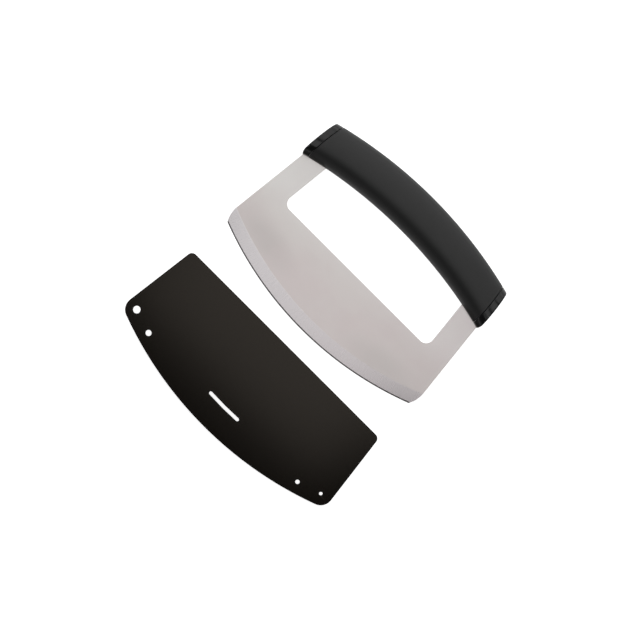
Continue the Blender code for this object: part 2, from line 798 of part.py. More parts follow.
def cover_fits(bench):
    """Cutters for the pocket, which leave its ribs, and for the lead-in at its mouth."""
    pocket = bench.cutter("pocket", plate_mesh("pocket", [pocket_outline()], POCKET_HALF_THICKNESS))
    cut(pocket, *cover_ribs(bench))
    outside = POCKET_HALF_THICKNESS + MOUTH_LEAD * (1 + CUT_MARGIN / MOUTH_LEAD_LENGTH)
    inside = POCKET_HALF_THICKNESS - MOUTH_LEAD
    lead = [
        Vector((-2 * MOUTH_LEAD_LENGTH, inside)),
        Vector((-2 * MOUTH_LEAD_LENGTH, -inside)),
        Vector((CUT_MARGIN, -outside)),
        Vector((CUT_MARGIN, outside)),
    ]
    mesh = plate_mesh("mouth_lead", [lead], cover_side_foot() + CUT_MARGIN)
    return [pocket, bench.cutter("mouth_lead", mesh, rotation=(math.pi / 2, 0, math.pi / 2))]


def cover_posts(bench, kind, clearance):
    """Posts that locate the two shells, or their sockets."""
    posts = []
    for place in post_places():
        mesh = rod_mesh(kind, POST_RADIUS + clearance, -COVER_HALF_THICKNESS / 2, POST_HEIGHT + clearance)
        posts.append(bench.cutter(kind, mesh, (place.x, place.y, 0)))
    return posts


def build_cover(bench, plastic):
    """The two flat shells, with the pocket between them and the holes and slot through both."""
    outlines = [cover_outline(), slot_outline()]
    outlines += [circle(middle, radius) for middle, radius in cover_holes()]
    fits = cover_fits(bench)
    reach = cover_side_foot() + COVER_HEIGHT
    bottom = -COVER_HEIGHT - CUT_MARGIN
    for name, face in (("front", 1), ("back", -1)):
        mesh = plate_mesh(f"cover_{name}_shell", outlines, COVER_HALF_THICKNESS, COVER_ROUNDING)
        shell = bench.part(f"cover_{name}_shell", mesh, plastic)
        parting, far = sorted((face * FIT_GAP / 2, face * (COVER_HALF_THICKNESS + CUT_MARGIN)))
        half_space = box_mesh("cover_side", (-reach, bottom, parting), (reach, CUT_MARGIN, far))
        keep(shell, bench.cutter(f"cover_side_{name}", half_space))
        cut(shell, *fits)
        if face > 0:
            cut(shell, *cover_posts(bench, "post_socket", FIT_GAP))
        else:
            join(shell, *cover_posts(bench, "post", 0))


def build():
    """The whole object."""
    clear_scene()
    parts = collection("mezzaluna")
    cutters = collection("mezzaluna_cutters")
    knife_frame = bpy.data.objects.new("knife", None)
    knife_frame.location = (0, EDGE_Y, MIDDLE_Z)
    cover_frame = bpy.data.objects.new("cover_slide", None)
    cover_frame.location = (0, EDGE_Y - COVER_GAP, MIDDLE_Z)
    for frame in (knife_frame, cover_frame):
        parts.objects.link(frame)
    knife = Bench(knife_frame, parts, cutters)
    cover = Bench(cover_frame, parts, cutters)

    blade_steel = material("blade_steel", (0.56, 0.53, 0.51), 0.35, metallic=1.0)
    fastener_steel = material("fastener_steel", (0.45, 0.45, 0.46), 0.30, metallic=1.0)
    soft_grip = material("soft_grip", (0.030, 0.030, 0.030), 0.75)
    gloss_cap = material("gloss_cap", (0.012, 0.012, 0.013), 0.15)
    core_plastic = material("core_plastic", (0.080, 0.080, 0.085), 0.50)
    cover_plastic = material("cover_plastic", (0.018, 0.016, 0.014), 0.40)

    holes = build_fasteners(knife, fastener_steel)
    slots = tang_slots(knife)
    build_blade(knife, blade_steel)
    build_core(knife, slots, holes, core_plastic)
    build_sleeve(knife, slots, soft_grip)
    for side_name, side in (("left", -1), ("right", 1)):
        build_end_cap(knife, side_name, side, slots, gloss_cap)
    build_cover(cover, cover_plastic)


build()
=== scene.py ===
import math

import bmesh
import bpy
from mathutils import Matrix, Vector
from mathutils.geometry import intersect_line_sphere_2d


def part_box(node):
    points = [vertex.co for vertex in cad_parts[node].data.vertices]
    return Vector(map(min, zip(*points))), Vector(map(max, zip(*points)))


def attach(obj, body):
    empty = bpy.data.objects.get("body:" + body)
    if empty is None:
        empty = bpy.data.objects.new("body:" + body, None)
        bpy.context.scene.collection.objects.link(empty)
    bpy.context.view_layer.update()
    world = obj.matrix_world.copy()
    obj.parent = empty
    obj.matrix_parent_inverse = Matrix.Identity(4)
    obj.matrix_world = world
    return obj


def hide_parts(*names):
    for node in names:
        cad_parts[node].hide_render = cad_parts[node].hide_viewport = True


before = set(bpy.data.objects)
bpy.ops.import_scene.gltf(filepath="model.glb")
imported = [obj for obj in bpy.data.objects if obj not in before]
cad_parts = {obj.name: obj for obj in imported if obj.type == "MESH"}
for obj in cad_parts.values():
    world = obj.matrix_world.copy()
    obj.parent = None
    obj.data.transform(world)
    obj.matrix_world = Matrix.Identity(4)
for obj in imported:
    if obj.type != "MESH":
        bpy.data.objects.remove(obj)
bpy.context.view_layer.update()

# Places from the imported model, in metres: X along the blade, Y from its edge to the handle, Z up
BLADE_LOW, BLADE_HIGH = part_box("blade")
SLEEVE_LOW, SLEEVE_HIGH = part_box("grip_sleeve")
COVER_BACK_LOW, COVER_BACK_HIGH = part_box("cover_back_shell")
COVER_FRONT_LOW, COVER_FRONT_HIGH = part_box("cover_front_shell")
EDGE_Y = BLADE_LOW.y
MIDDLE_Z = (BLADE_LOW.z + BLADE_HIGH.z) / 2
BLADE_THICKNESS = BLADE_HIGH.z - BLADE_LOW.z
GRIP_DEPTH = SLEEVE_HIGH.z - SLEEVE_LOW.z
CROWN = SLEEVE_HIGH.y - EDGE_Y
MOUTH_Y = COVER_FRONT_HIGH.y
COVER_HEIGHT = COVER_FRONT_HIGH.y - COVER_FRONT_LOW.y
COVER_HALF_THICKNESS = (COVER_FRONT_HIGH.z - COVER_BACK_LOW.z) / 2

# Blade
BLADE_HEIGHT = 0.0503
BLADE_HALF_WIDTH = 0.0900
SIDE_LEAN = math.radians(6.25)
EDGE_RADIUS = 0.2356
EDGE_END_INSET = 0.0055
CORNER_RADIUS = 0.0184
GRIND_WIDTH = 0.0092
GRIND_LAND = 0.0003  # thickness that the wide bevel would leave at the edge
HONE_WIDTH = 0.0009
HONE_LAND = 0.00006
ARM_WIDTH = 0.0174
WINDOW_LEAN = math.radians(5.9)
WINDOW_CORNER_RADIUS = 0.0056
SHOULDER_DEPTH = 0.0060
TANG_WIDTH = 0.0104
TANG_END_DEPTH = 0.0057  # from the grip's outer skin to the end of the tang
BLADE_ROUNDING = 0.00012

# Handle
GRIP_HEIGHT = 0.0298
GRIP_OUTER_RADIUS = 0.3129
GRIP_INNER_RADIUS = 0.3300
GRIP_ROUNDNESS = 2.25  # power of the section's curve, where 2 is an ellipse
END_SQUARENESS = 0.45  # how much that power grows towards the handle's ends
SQUARENESS_FADE = 8  # power of the share at which the squareness fades towards the middle
GRIP_SWELL = 0.0004  # how far the soft skin stands out over the solid's crown
END_OVERHANG = 0.0017
END_BULGE = 0.0006
END_DRAW_IN = 0.0013  # at the inner corner, where the end runs round into the blade
END_DRAW_START = 0.70  # share of the way to that corner at which the draw-in starts
DRAW_IN_FADE = 12  # power of the share at which the draw-in fades towards the middle
CAP_LENGTH = 0.0051
CAP_ROUNDING = 0.0009
CAP_DOME = 0.0001
CAP_FALL = 0.00030  # how much thinner a cap is at its end than at its seam, on each face
SEAM_GAP = 0.0002
SEAM_FLANK = 0.0002  # width of the groove's flank on either side of the gap
SEAM_DEPTH = 0.0010
SLEEVE_WALL = 0.0026
FIT_GAP = 0.0003

# Fasteners in the tangs
PIN_RADIUS = 0.0015
PIN_EDGE_DISTANCE = 0.0032
SCREW_RADIUS = 0.00145
SCREW_EDGE_DISTANCE = 0.0034

# Cover
COVER_LEAN = math.radians(7.24)
COVER_EDGE_RADIUS = 0.2552
COVER_MOUTH_CORNER = 0.0037
COVER_TIP_CORNER = 0.0086
COVER_ROUNDING = 0.00012
COVER_WALL = 0.0016
POCKET_DEPTH = 0.0507
POCKET_SIDE_CLEARANCE = 0.0006
POCKET_END_CLEARANCE = 0.0010
SIDE_WALL_START = 0.0010  # thickness at which the side walls start, below the open part of the sides
MOUTH_LEAD = 0.0006  # how far the mouth is opened on each face
MOUTH_LEAD_LENGTH = 0.0016
RIB_CLEARANCE = 0.00015  # between a rib and the blade
RIB_WIDTH = 0.0012
RIB_LENGTH = 0.0300
RIB_SPACING = 0.0450  # of a rib from the middle
RIB_SETBACK = 0.0040
HOLE_INSET = 0.0078  # from the lower edge; setbacks run along it from the tips
OUTER_HOLE_SETBACK = 0.0064
INNER_HOLE_SETBACK = 0.0242
LEFT_HOLE_RADII = (0.00255, 0.00205)  # outer, inner
RIGHT_HOLE_RADII = (0.0012, 0.0015)
SLOT_INSET = 0.0184  # from the lower edge to the slot's middle line
SLOT_LENGTH = 0.0270
SLOT_WIDTH = 0.0024

# Fineness
EDGE_STEPS = 72
CORNER_STEPS = 20
HOLE_STEPS = 48
GRIND_STEPS = 512
RING_STEPS = 144
GRIP_STEPS = 80
ROLL_STEPS = 6
ROUNDING_STEPS = 12
BLADE_ROUNDING_STEPS = 2
COVER_ROUNDING_STEPS = 4
DOME_REACH = 0.98  # share of the way to the middle at which a cap's end closes flat
CUT_MARGIN = 0.0050  # how far a cutter stands out over what it cuts
MERGE_DISTANCE = 0.000001
TURN_MERGE_DISTANCE = 0.00001

# Angles from which an edge is shown as a crease
CREASE = math.radians(30)
CAP_CREASE = math.radians(40)
COVER_CREASE = math.radians(35)
FLAT_CREASE = math.radians(1.2)  # between two faces that are level within LEVEL_TILT
LEVEL_TILT = math.radians(20)

# Colours, the darker one of a pair first
WHITE = (1, 1, 1, 1)
# The plate's pair is mixed by random clouds and by painted light
PLATE_COLOURS = ((0.620, 0.561, 0.553, 1), (0.660, 0.632, 0.610, 1))
# The paler bevel colour is painted light from the left
BEVEL_PAINTED_LIGHT_COLOURS = ((0.660, 0.614, 0.622, 1), (0.696, 0.662, 0.672, 1))
# A painted highlight along the bevel's ridge
RIDGE_HIGHLIGHT_COLOUR = (0.80, 0.77, 0.77, 1)
# Colour of the soft patches of painted shade on the plate
PAINTED_SHADE_COLOUR = (0.20, 0.20, 0.19, 1)
GRIP_COLOURS = ((0.0078, 0.0078, 0.0079, 1), (0.0098, 0.0096, 0.0095, 1))
CAP_COLOURS = ((0.0060, 0.0060, 0.0062, 1), (0.0080, 0.0079, 0.0078, 1))
COVER_COLOURS = ((0.0032, 0.0025, 0.0018, 1), (0.0040, 0.0032, 0.0024, 1))
COVER_SHEEN = (1.0, 0.88, 0.76, 1)
CORE_COLOURS = ((0.060, 0.060, 0.064, 1), (0.090, 0.090, 0.095, 1))
FASTENER_COLOURS = ((0.40, 0.40, 0.41, 1), (0.52, 0.52, 0.53, 1))
FLOOR_COLOUR = (0.86, 0.86, 0.86, 1)

# Roughness, from the smooth to the rough places of a finish
STEEL_ROUGHNESS = (0.29, 0.33)
BEVEL_POLISH = 0.03  # how much smoother the bevel is than the plate
HONE_POLISH = 0.06  # how much smoother again the honed strip is
GRIP_ROUGHNESS = (0.42, 0.50)
CAP_ROUGHNESS = (0.10, 0.18)
COVER_ROUGHNESS = (0.20, 0.25)
CORE_ROUGHNESS = (0.42, 0.58)
FASTENER_ROUGHNESS = (0.22, 0.36)
FLOOR_ROUGHNESS = 0.9

# Reflection of the plastics, where 0.5 is that of plain plastic
GRIP_SPECULAR = 0.50
CAP_SPECULAR = 0.45
COVER_SPECULAR = 0.39
FLOOR_SPECULAR = 0.1

# Relief of the finishes: depth in metres, and strength
STEEL_RELIEF = (0.000003, 0.6)
GRIP_RELIEF = (0.00001, 0.5)
CAP_RELIEF = (0.00002, 0.4)
COVER_RELIEF = (0.000006, 0.5)
CORE_RELIEF = (0.00001, 0.5)
FASTENER_RELIEF = (0.000005, 0.5)

# Cycles a metre of the stretched noises, along X, Y and Z
PLATE_GRAIN = (60, 3200, 900)
BEVEL_MARKS = (900, 900, 900)  # cycles a radius, because these go by direction
CAP_RUBS = (2500, 400, 400)
FASTENER_RINGS = (400, 400, 9000)

# Parts of a noise's range that a ramp spreads out
WIDE_BAND = (0.20, 0.80)
MIDDLE_BAND = (0.25, 0.75)
HIGH_BAND = (0.35, 0.75)
NARROW_BAND = (0.35, 0.65)

# Tones of the blade, by place; most of them are painted light and shade on the steel
BEVEL_BLEND = 0.0001  # half the width over which one ground face runs into the next
# Painted highlight along the ridge between plate and bevel, in the next two
RIDGE_WIDTHS = (0.0001, 0.0003)  # the bright line along the bevel, from its full tone to none
RIDGE_HIGHLIGHT_STRENGTH = 0.6
LEFTWARD_SPAN = (-0.07, 0.05)  # X over which the light from the left falls off
# Painted light from the left, on the plate towards the window
WINDOW_PAINTED_LIGHT_SPAN = (0.024, 0.052)  # above the edge's lowest point, as the next one
# Painted light on the arms: where it starts and ends, and how much white it mixes in
ARMWARD_SPAN = (0.038, 0.064)
ARM_PAINTED_LIGHT = 0.19
# Of the plate's tone, the share of random clouds; the rest is painted light by place
CLOUD_SHARE = 0.30  # of the plate's tone; the rest goes by place
# Soft patches of painted shade on the plate
PAINTED_SHADE_PATCHES = (((-0.057, 0.010, MIDDLE_Z), 0.13), ((0.050, 0.005, MIDDLE_Z), 0.10))  # middle, strength
PATCH_REACH = (0.004, 0.036)  # where a patch starts to fade and where it ends
PATCH_TURN = math.radians(9)
PATCH_FLATNESS = 0.42
PATCH_CLOUDS = (0.5, 0.75)  # factor and addend with which the clouds vary a patch
MARK_CONTRAST = (0.5, 0.25)  # factor and addend that halve the contrast of the grind marks

# Camera: straight above, with the blade's length running down to the right at 45 degrees
CAMERA_AIM = Vector((-0.00018, -0.0028, MIDDLE_Z))
CAMERA_HEIGHT = 2.5
CAMERA_TURN = math.radians(45)
VIEW_WIDTH = 0.4158
SENSOR_WIDTH = 36.0
CLIP_END = 100

# Floor, which adds light of its own to the camera's view and to what the object mirrors
FLOOR_SIZE = 60
CAMERA_GLOW = 0.93
MIRROR_GLOW = 0.20

# Lamps: a low corner, a high corner and a radiance overhead, and a centre, an aim and a radiance behind
LAMP_HEIGHT = 0.313
OVERHEAD_LAMPS = {
    "top": ((-0.45, -0.02), (0.21, 0.070), 1.01),
    "top back": ((-0.45, 0.092), (0.18, 0.19), 1.12),
    "front strip": ((-0.118, -0.086), (0.086, -0.02), 0.95),
}
BACK_LAMP_SIZE = (1.0, 0.36)
BACK_LAMPS = {
    "behind high": ((-0.24, 0.397, 0.447), (-0.18, -0.013, 0.160), 1.06),
    "behind low": ((-0.24, 0.603, 0.153), (-0.18, 0.193, -0.134), 0.80),
}

# World, by the Z and X of a direction: a pale horizon and pale sides under a dark sky
HORIZON_LEVEL = 0.50
HORIZON_FADE = (0.10, 0.45)
SIDE_LEVEL = 0.42
SIDE_RISE = (0.35, 0.80)
SIDE_FADE = (0.55, 0.80)
SKY_LEVEL = 0.03

# Derived places, from the lowest point of the cutting edge
GRIP_BASE = CROWN - GRIP_HEIGHT
EDGE_CENTRE = Vector((0, EDGE_RADIUS))
GRIP_INNER_CENTRE = Vector((0, GRIP_BASE - GRIP_INNER_RADIUS))
GRIP_OUTER_CENTRE = Vector((0, CROWN - GRIP_OUTER_RADIUS))
COVER_EDGE_CENTRE = Vector((0, COVER_EDGE_RADIUS - COVER_HEIGHT))
POCKET_HALF_THICKNESS = COVER_HALF_THICKNESS - COVER_WALL
KNIFE_PLACE = Vector((0, EDGE_Y, MIDDLE_Z))
COVER_PLACE = Vector((0, MOUTH_Y, MIDDLE_Z))


# Outlines

def arc(centre, radius, start, end, steps):
    """Points along an arc, both ends included."""
    angles = [start + (end - start) * step / steps for step in range(steps + 1)]
    return [centre + radius * Vector((math.cos(angle), math.sin(angle))) for angle in angles]


def direction(start, end):
    """Angle of the way from one point to another."""
    return math.atan2(end.y - start.y, end.x - start.x)


def line_meets_circle(foot, lean, centre, radius, highest=True):
    """Where a line that leans inwards from a point on the X axis meets a circle, at its high or low end."""
    ends = Vector((foot, 0)), Vector((foot - math.tan(lean), 1))
    points = intersect_line_sphere_2d(*ends, centre, radius, False)
    return sorted(points, key=lambda point: point.y)[-1 if highest else 0]


def mirrored(half):
    """A closed outline from its right half, whose first point is put on the Y axis."""
    half[0].x = 0
    return half + [Vector((-point.x, point.y)) for point in reversed(half) if point.x > 0]


def circle(centre, radius):
    """A round hole's outline."""
    return arc(centre, radius, 2 * math.pi, 0, HOLE_STEPS)[:-1]


def side_x(y):
    """The blade's side line."""
    return BLADE_HALF_WIDTH - math.tan(SIDE_LEAN) * y


def window_x(y):
    """The hand window's side line, which the inner side of the tang continues."""
    return side_x(BLADE_HEIGHT) - ARM_WIDTH - math.tan(WINDOW_LEAN) * (y - BLADE_HEIGHT)


def shoulder_y():
    """The tang's shoulder, a set depth above the grip's inner edge."""
    foot = window_x(0) + ARM_WIDTH / 2
    entry = line_meets_circle(foot, WINDOW_LEAN, GRIP_INNER_CENTRE, GRIP_INNER_RADIUS)
    return entry.y + SHOULDER_DEPTH


def tang_end_y():
    """The tang's end inside the handle."""
    foot = window_x(0) + TANG_WIDTH
    return line_meets_circle(foot, WINDOW_LEAN, GRIP_OUTER_CENTRE, GRIP_OUTER_RADIUS - TANG_END_DEPTH).y


def tang_holes():
    """The outlines of the pin and screw holes in both tangs."""
    holes = []
    for y, radius in (
        (shoulder_y() + PIN_EDGE_DISTANCE, PIN_RADIUS),
        (tang_end_y() - SCREW_EDGE_DISTANCE, SCREW_RADIUS),
    ):
        x = window_x(y) + TANG_WIDTH / 2
        holes += [circle(Vector((side * x, y)), radius + FIT_GAP) for side in (-1, 1)]
    return holes


def tang_outline(clearance):
    """The right tang from its shoulder to its inner side, grown by a clearance."""
    shoulder = shoulder_y()
    end = tang_end_y()
    return [
        Vector((side_x(shoulder) + clearance, shoulder + clearance)),
        Vector((window_x(shoulder) + TANG_WIDTH + clearance, shoulder + clearance)),
        Vector((window_x(end) + TANG_WIDTH + clearance, end + clearance)),
        Vector((window_x(end) - clearance, end + clearance)),
    ]


def blade_corner():
    """Centre of the round corner between the cutting edge and the right side, and the edge's end."""
    end_foot = BLADE_HALF_WIDTH - EDGE_END_INSET
    edge_end = line_meets_circle(end_foot, 0, EDGE_CENTRE, EDGE_RADIUS, highest=False)
    centre_foot = BLADE_HALF_WIDTH - CORNER_RADIUS / math.cos(SIDE_LEAN)
    return line_meets_circle(centre_foot, SIDE_LEAN, edge_end, CORNER_RADIUS), edge_end


def blade_outline():
    """The blade from above, with both arms and tangs."""
    corner, edge_end = blade_corner()
    window_corner_y = BLADE_HEIGHT + WINDOW_CORNER_RADIUS
    window_corner_x = window_x(window_corner_y) - WINDOW_CORNER_RADIUS / math.cos(WINDOW_LEAN)
    window_corner = Vector((window_corner_x, window_corner_y))
    half = arc(EDGE_CENTRE, EDGE_RADIUS, -math.pi / 2, direction(EDGE_CENTRE, edge_end), EDGE_STEPS)
    half += arc(corner, CORNER_RADIUS, direction(corner, edge_end), SIDE_LEAN, CORNER_STEPS)[1:]
    half += tang_outline(0)
    half += arc(window_corner, WINDOW_CORNER_RADIUS, WINDOW_LEAN, -math.pi / 2, CORNER_STEPS)
    return mirrored(half)


def blade_reach():
    """Half the blade's greatest width, which is also half the cover's mouth."""
    return blade_corner()[0].x + CORNER_RADIUS


def cover_outline():
    """The cover from above."""
    foot = blade_reach()
    inset = COVER_TIP_CORNER / math.cos(COVER_LEAN)
    tip_reach = COVER_EDGE_RADIUS - COVER_TIP_CORNER
    tip = line_meets_circle(foot - inset, COVER_LEAN, COVER_EDGE_CENTRE, tip_reach, highest=False)
    mouth_x = foot + (math.tan(COVER_LEAN) - 1 / math.cos(COVER_LEAN)) * COVER_MOUTH_CORNER
    mouth = Vector((mouth_x, -COVER_MOUTH_CORNER))
    tip_angle = direction(COVER_EDGE_CENTRE, tip)
    half = arc(COVER_EDGE_CENTRE, COVER_EDGE_RADIUS, -math.pi / 2, tip_angle, EDGE_STEPS)
    half += arc(tip, COVER_TIP_CORNER, tip_angle, COVER_LEAN, CORNER_STEPS)[1:]
    half += arc(mouth, COVER_MOUTH_CORNER, COVER_LEAN, math.pi / 2, CORNER_STEPS)
    return mirrored(half)


def on_cover_arc(angle, inset):
    """A point a set distance inside the cover's lower edge."""
    way = Vector((math.sin(angle), -math.cos(angle)))
    return COVER_EDGE_CENTRE + (COVER_EDGE_RADIUS - inset) * way


def angle_from_tip(setback):
    """Angle on the lower edge's arc, a set length along it from where it meets the side line."""
    tip = line_meets_circle(blade_reach(), COVER_LEAN, COVER_EDGE_CENTRE, COVER_EDGE_RADIUS, highest=False)
    return math.asin(tip.x / COVER_EDGE_RADIUS) - setback / COVER_EDGE_RADIUS


def cover_holes():
    """The outlines of the holes near the cover's tips."""
    holes = []
    for side, radii in ((-1, LEFT_HOLE_RADII), (1, RIGHT_HOLE_RADII)):
        for setback, radius in zip((OUTER_HOLE_SETBACK, INNER_HOLE_SETBACK), radii):
            holes.append(circle(on_cover_arc(side * angle_from_tip(setback), HOLE_INSET), radius))
    return holes


def slot_outline():
    """The curved slot near the cover's lower edge."""
    half_width = SLOT_WIDTH / 2
    swing = (SLOT_LENGTH / 2 - half_width) / (COVER_EDGE_RADIUS - SLOT_INSET)
    ends = []
    for side, start in ((swing, swing - math.pi / 2), (-swing, math.pi / 2 - swing)):
        ends.append(arc(on_cover_arc(side, SLOT_INSET), half_width, start, start + math.pi, CORNER_STEPS))
    outer_middle = on_cover_arc(0, SLOT_INSET - half_width)
    inner_middle = on_cover_arc(0, SLOT_INSET + half_width)
    return [outer_middle, *ends[0], inner_middle, *ends[1]][::-1]


def pocket_outline():
    """The cover's pocket: it follows the cutting edge, and its sides are open near the mouth."""
    side = blade_reach() + POCKET_SIDE_CLEARANCE
    radius = EDGE_RADIUS + POCKET_END_CLEARANCE
    centre = Vector((0, radius - POCKET_DEPTH))
    corner = line_meets_circle(side, 0, centre, radius, highest=False)
    open_y = -(side + SIDE_WALL_START - blade_reach()) / math.tan(COVER_LEAN)
    outside = side + CUT_MARGIN
    half = arc(centre, radius, -math.pi / 2, direction(centre, corner), EDGE_STEPS)
    half.append(Vector((side, open_y)))
    half.append(Vector((outside, open_y + CUT_MARGIN * math.tan(COVER_LEAN))))
    half.append(Vector((outside, CUT_MARGIN)))
    return mirrored(half)


# Sections of the handle

def end_x(y):
    """The handle's end line, which runs beside the blade's side line."""
    return side_x(y) + END_OVERHANG


def grip_reach():
    """Half the handle's length at half its height."""
    return end_x(CROWN - GRIP_HEIGHT / 2)


def seam_share():
    """Where the sleeve ends and the cap starts, as a share of the way to the handle's end."""
    return 1 - CAP_LENGTH / grip_reach()


def rounded(ratio, roundness):
    """One coordinate of a superellipse."""
    return math.copysign(abs(ratio) ** (2 / roundness), ratio)


def section(share, inset, past_end=0.0, fall=0.0):
    """The handle's section at a share of the way to its end.

    It is drawn in all round by an inset, thinned on both faces by a fall and moved on past the end.
    """
    foot = share * (BLADE_HALF_WIDTH + END_OVERHANG)
    lean = math.atan(share * math.tan(SIDE_LEAN))
    inner = line_meets_circle(foot, lean, GRIP_INNER_CENTRE, GRIP_INNER_RADIUS)
    outer = line_meets_circle(foot, lean, GRIP_OUTER_CENTRE, GRIP_OUTER_RADIUS + GRIP_SWELL)
    middle, half = (inner + outer) / 2, (outer - inner) / 2
    height = half.length - inset
    depth = GRIP_DEPTH / 2 - inset - fall
    roundness = GRIP_ROUNDNESS + END_SQUARENESS * abs(share) ** SQUARENESS_FADE
    ring = []
    for step in range(RING_STEPS):
        angle = 2 * math.pi * step / RING_STEPS
        up, out = (rounded(ratio, roundness) for ratio in (math.cos(angle), math.sin(angle)))
        point = middle + half.normalized() * height * up
        reach = up * height / half.length
        draw_in = max(0, -reach - END_DRAW_START) / (1 - END_DRAW_START)
        bulge = END_BULGE * (1 - reach ** 2) - END_DRAW_IN * abs(share) ** DRAW_IN_FADE * draw_in ** 2
        bulge = share * bulge + math.copysign(past_end, share)
        ring.append(Vector((point.x + bulge, point.y, depth * out)))
    return ring


# Making meshes

def clean_mesh(name, geometry):
    """A mesh with outward faces, smooth except at its sharp edges."""
    bmesh.ops.recalc_face_normals(geometry, faces=geometry.faces)
    mesh = bpy.data.meshes.new(name)
    geometry.to_mesh(mesh)
    geometry.free()
    mesh.shade_smooth()
    mesh.set_sharp_from_angle(angle=CREASE)
    return mesh


def evaluated_mesh(item):
    """A new mesh of an object as its modifiers or its curve's settings make it."""
    return bpy.data.meshes.new_from_object(item.evaluated_get(bpy.context.evaluated_depsgraph_get()))


def plate_mesh(name, outlines, half_thickness, rounding=0.0, rounding_steps=0):
    """A flat solid from its outer outline and its holes, centred on its own plane."""
    curve = bpy.data.curves.new(name, "CURVE")
    curve.dimensions = "2D"
    curve.fill_mode = "BOTH"
    curve.extrude = half_thickness - rounding
    curve.bevel_depth = rounding
    curve.bevel_resolution = rounding_steps
    curve.offset = -rounding
    for outline in outlines:
        spline = curve.splines.new("POLY")
        spline.points.add(len(outline) - 1)
        for place, point in zip(spline.points, outline):
            place.co = (point.x, point.y, 0, 1)
        spline.use_cyclic_u = True
    guide = bpy.data.objects.new(name, curve)
    bpy.context.scene.collection.objects.link(guide)
    filled = evaluated_mesh(guide)
    bpy.data.objects.remove(guide)
    geometry = bmesh.new()
    geometry.from_mesh(filled)
    bpy.data.meshes.remove(filled)
    bmesh.ops.remove_doubles(geometry, verts=geometry.verts, dist=MERGE_DISTANCE)
    return clean_mesh(name, geometry)


def box_mesh(name, low, high):
    """A box between two corners."""
    geometry = bmesh.new()
    size = Vector(high) - Vector(low)
    centre = (Vector(high) + Vector(low)) / 2
    bmesh.ops.create_cube(geometry, size=1, matrix=Matrix.Translation(centre) @ Matrix.Diagonal((*size, 1)))
    return clean_mesh(name, geometry)


def loft_faces(geometry, rings, closed):
    """Faces between rings of equal count. A closed loft joins its ends, an open one has strips over them."""
    loops = [[geometry.verts.new(point) for point in ring] for ring in rings]
    count = len(loops[0])
    pairs = list(zip(loops, loops[1:]))
    if closed:
        pairs.append((loops[-1], loops[0]))
    for near, far in pairs:
        for step in range(count):
            after = (step + 1) % count
            geometry.faces.new((near[step], near[after], far[after], far[step]))
    if not closed:
        for loop in (loops[0], loops[-1]):
            for step in range(count // 2):
                strip = (loop[step], loop[step + 1], loop[count - step - 1], loop[-step])
                geometry.faces.new(dict.fromkeys(strip))


def helper(name, mesh, location, rotation=(0, 0, 0)):
    """An object that only shapes others and is removed afterwards."""
    item = bpy.data.objects.new(name, mesh)
    bpy.context.scene.collection.objects.link(item)
    item.location = location
    item.rotation_euler = rotation
    return item


def turned_cutter(name, profile, centre):
    """A closed profile in the XZ plane, revolved about an upright axis."""
    count = len(profile)
    edges = [(step, (step + 1) % count) for step in range(count)]
    mesh = bpy.data.meshes.new(name)
    mesh.from_pydata([(x, 0, z) for x, z in profile], edges, [])
    item = helper(name, mesh, centre)
    screw = item.modifiers.new("turn", "SCREW")
    screw.steps = GRIND_STEPS
    screw.render_steps = GRIND_STEPS
    screw.use_merge_vertices = True
    screw.merge_threshold = TURN_MERGE_DISTANCE
    return item


def shaped(item, operations):
    """Apply Booleans to a helper, then remove it and the other helpers and return the mesh in place."""
    for number, (operation, other) in enumerate(operations):
        modifier = item.modifiers.new(f"{operation} {number}", "BOOLEAN")
        modifier.operation = operation
        modifier.solver = "EXACT"
        modifier.object = other
    bpy.context.view_layer.update()
    mesh = evaluated_mesh(item)
    mesh.transform(item.matrix_world)
    for used in (item, *(other for operation, other in operations)):
        bpy.data.objects.remove(used)
    return mesh


def piece(name, mesh, finish, body, node):
    """A piece of the dressed object, which stands for a CAD node and rides on its body."""
    mesh.materials.clear()
    mesh.materials.append(finish)
    item = bpy.data.objects.new(name, mesh)
    bpy.context.scene.collection.objects.link(item)
    weighted = item.modifiers.new("even flats", "WEIGHTED_NORMAL")
    weighted.keep_sharp = True
    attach(item, body)
    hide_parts(node)


def soften(mesh):
    """Smooth shading that keeps creases, also the slight ones between nearly level faces."""
    geometry = bmesh.new()
    geometry.from_mesh(mesh)
    bmesh.ops.remove_doubles(geometry, verts=geometry.verts, dist=MERGE_DISTANCE)
    for face in geometry.faces:
        face.smooth = True
    for edge in geometry.edges:
        if len(edge.link_faces) != 2:
            continue
        level = all(abs(face.normal.z) > math.cos(LEVEL_TILT) for face in edge.link_faces)
        edge.smooth = edge.calc_face_angle() < (FLAT_CREASE if level else CREASE)
    geometry.to_mesh(mesh)
    geometry.free()


# Node materials

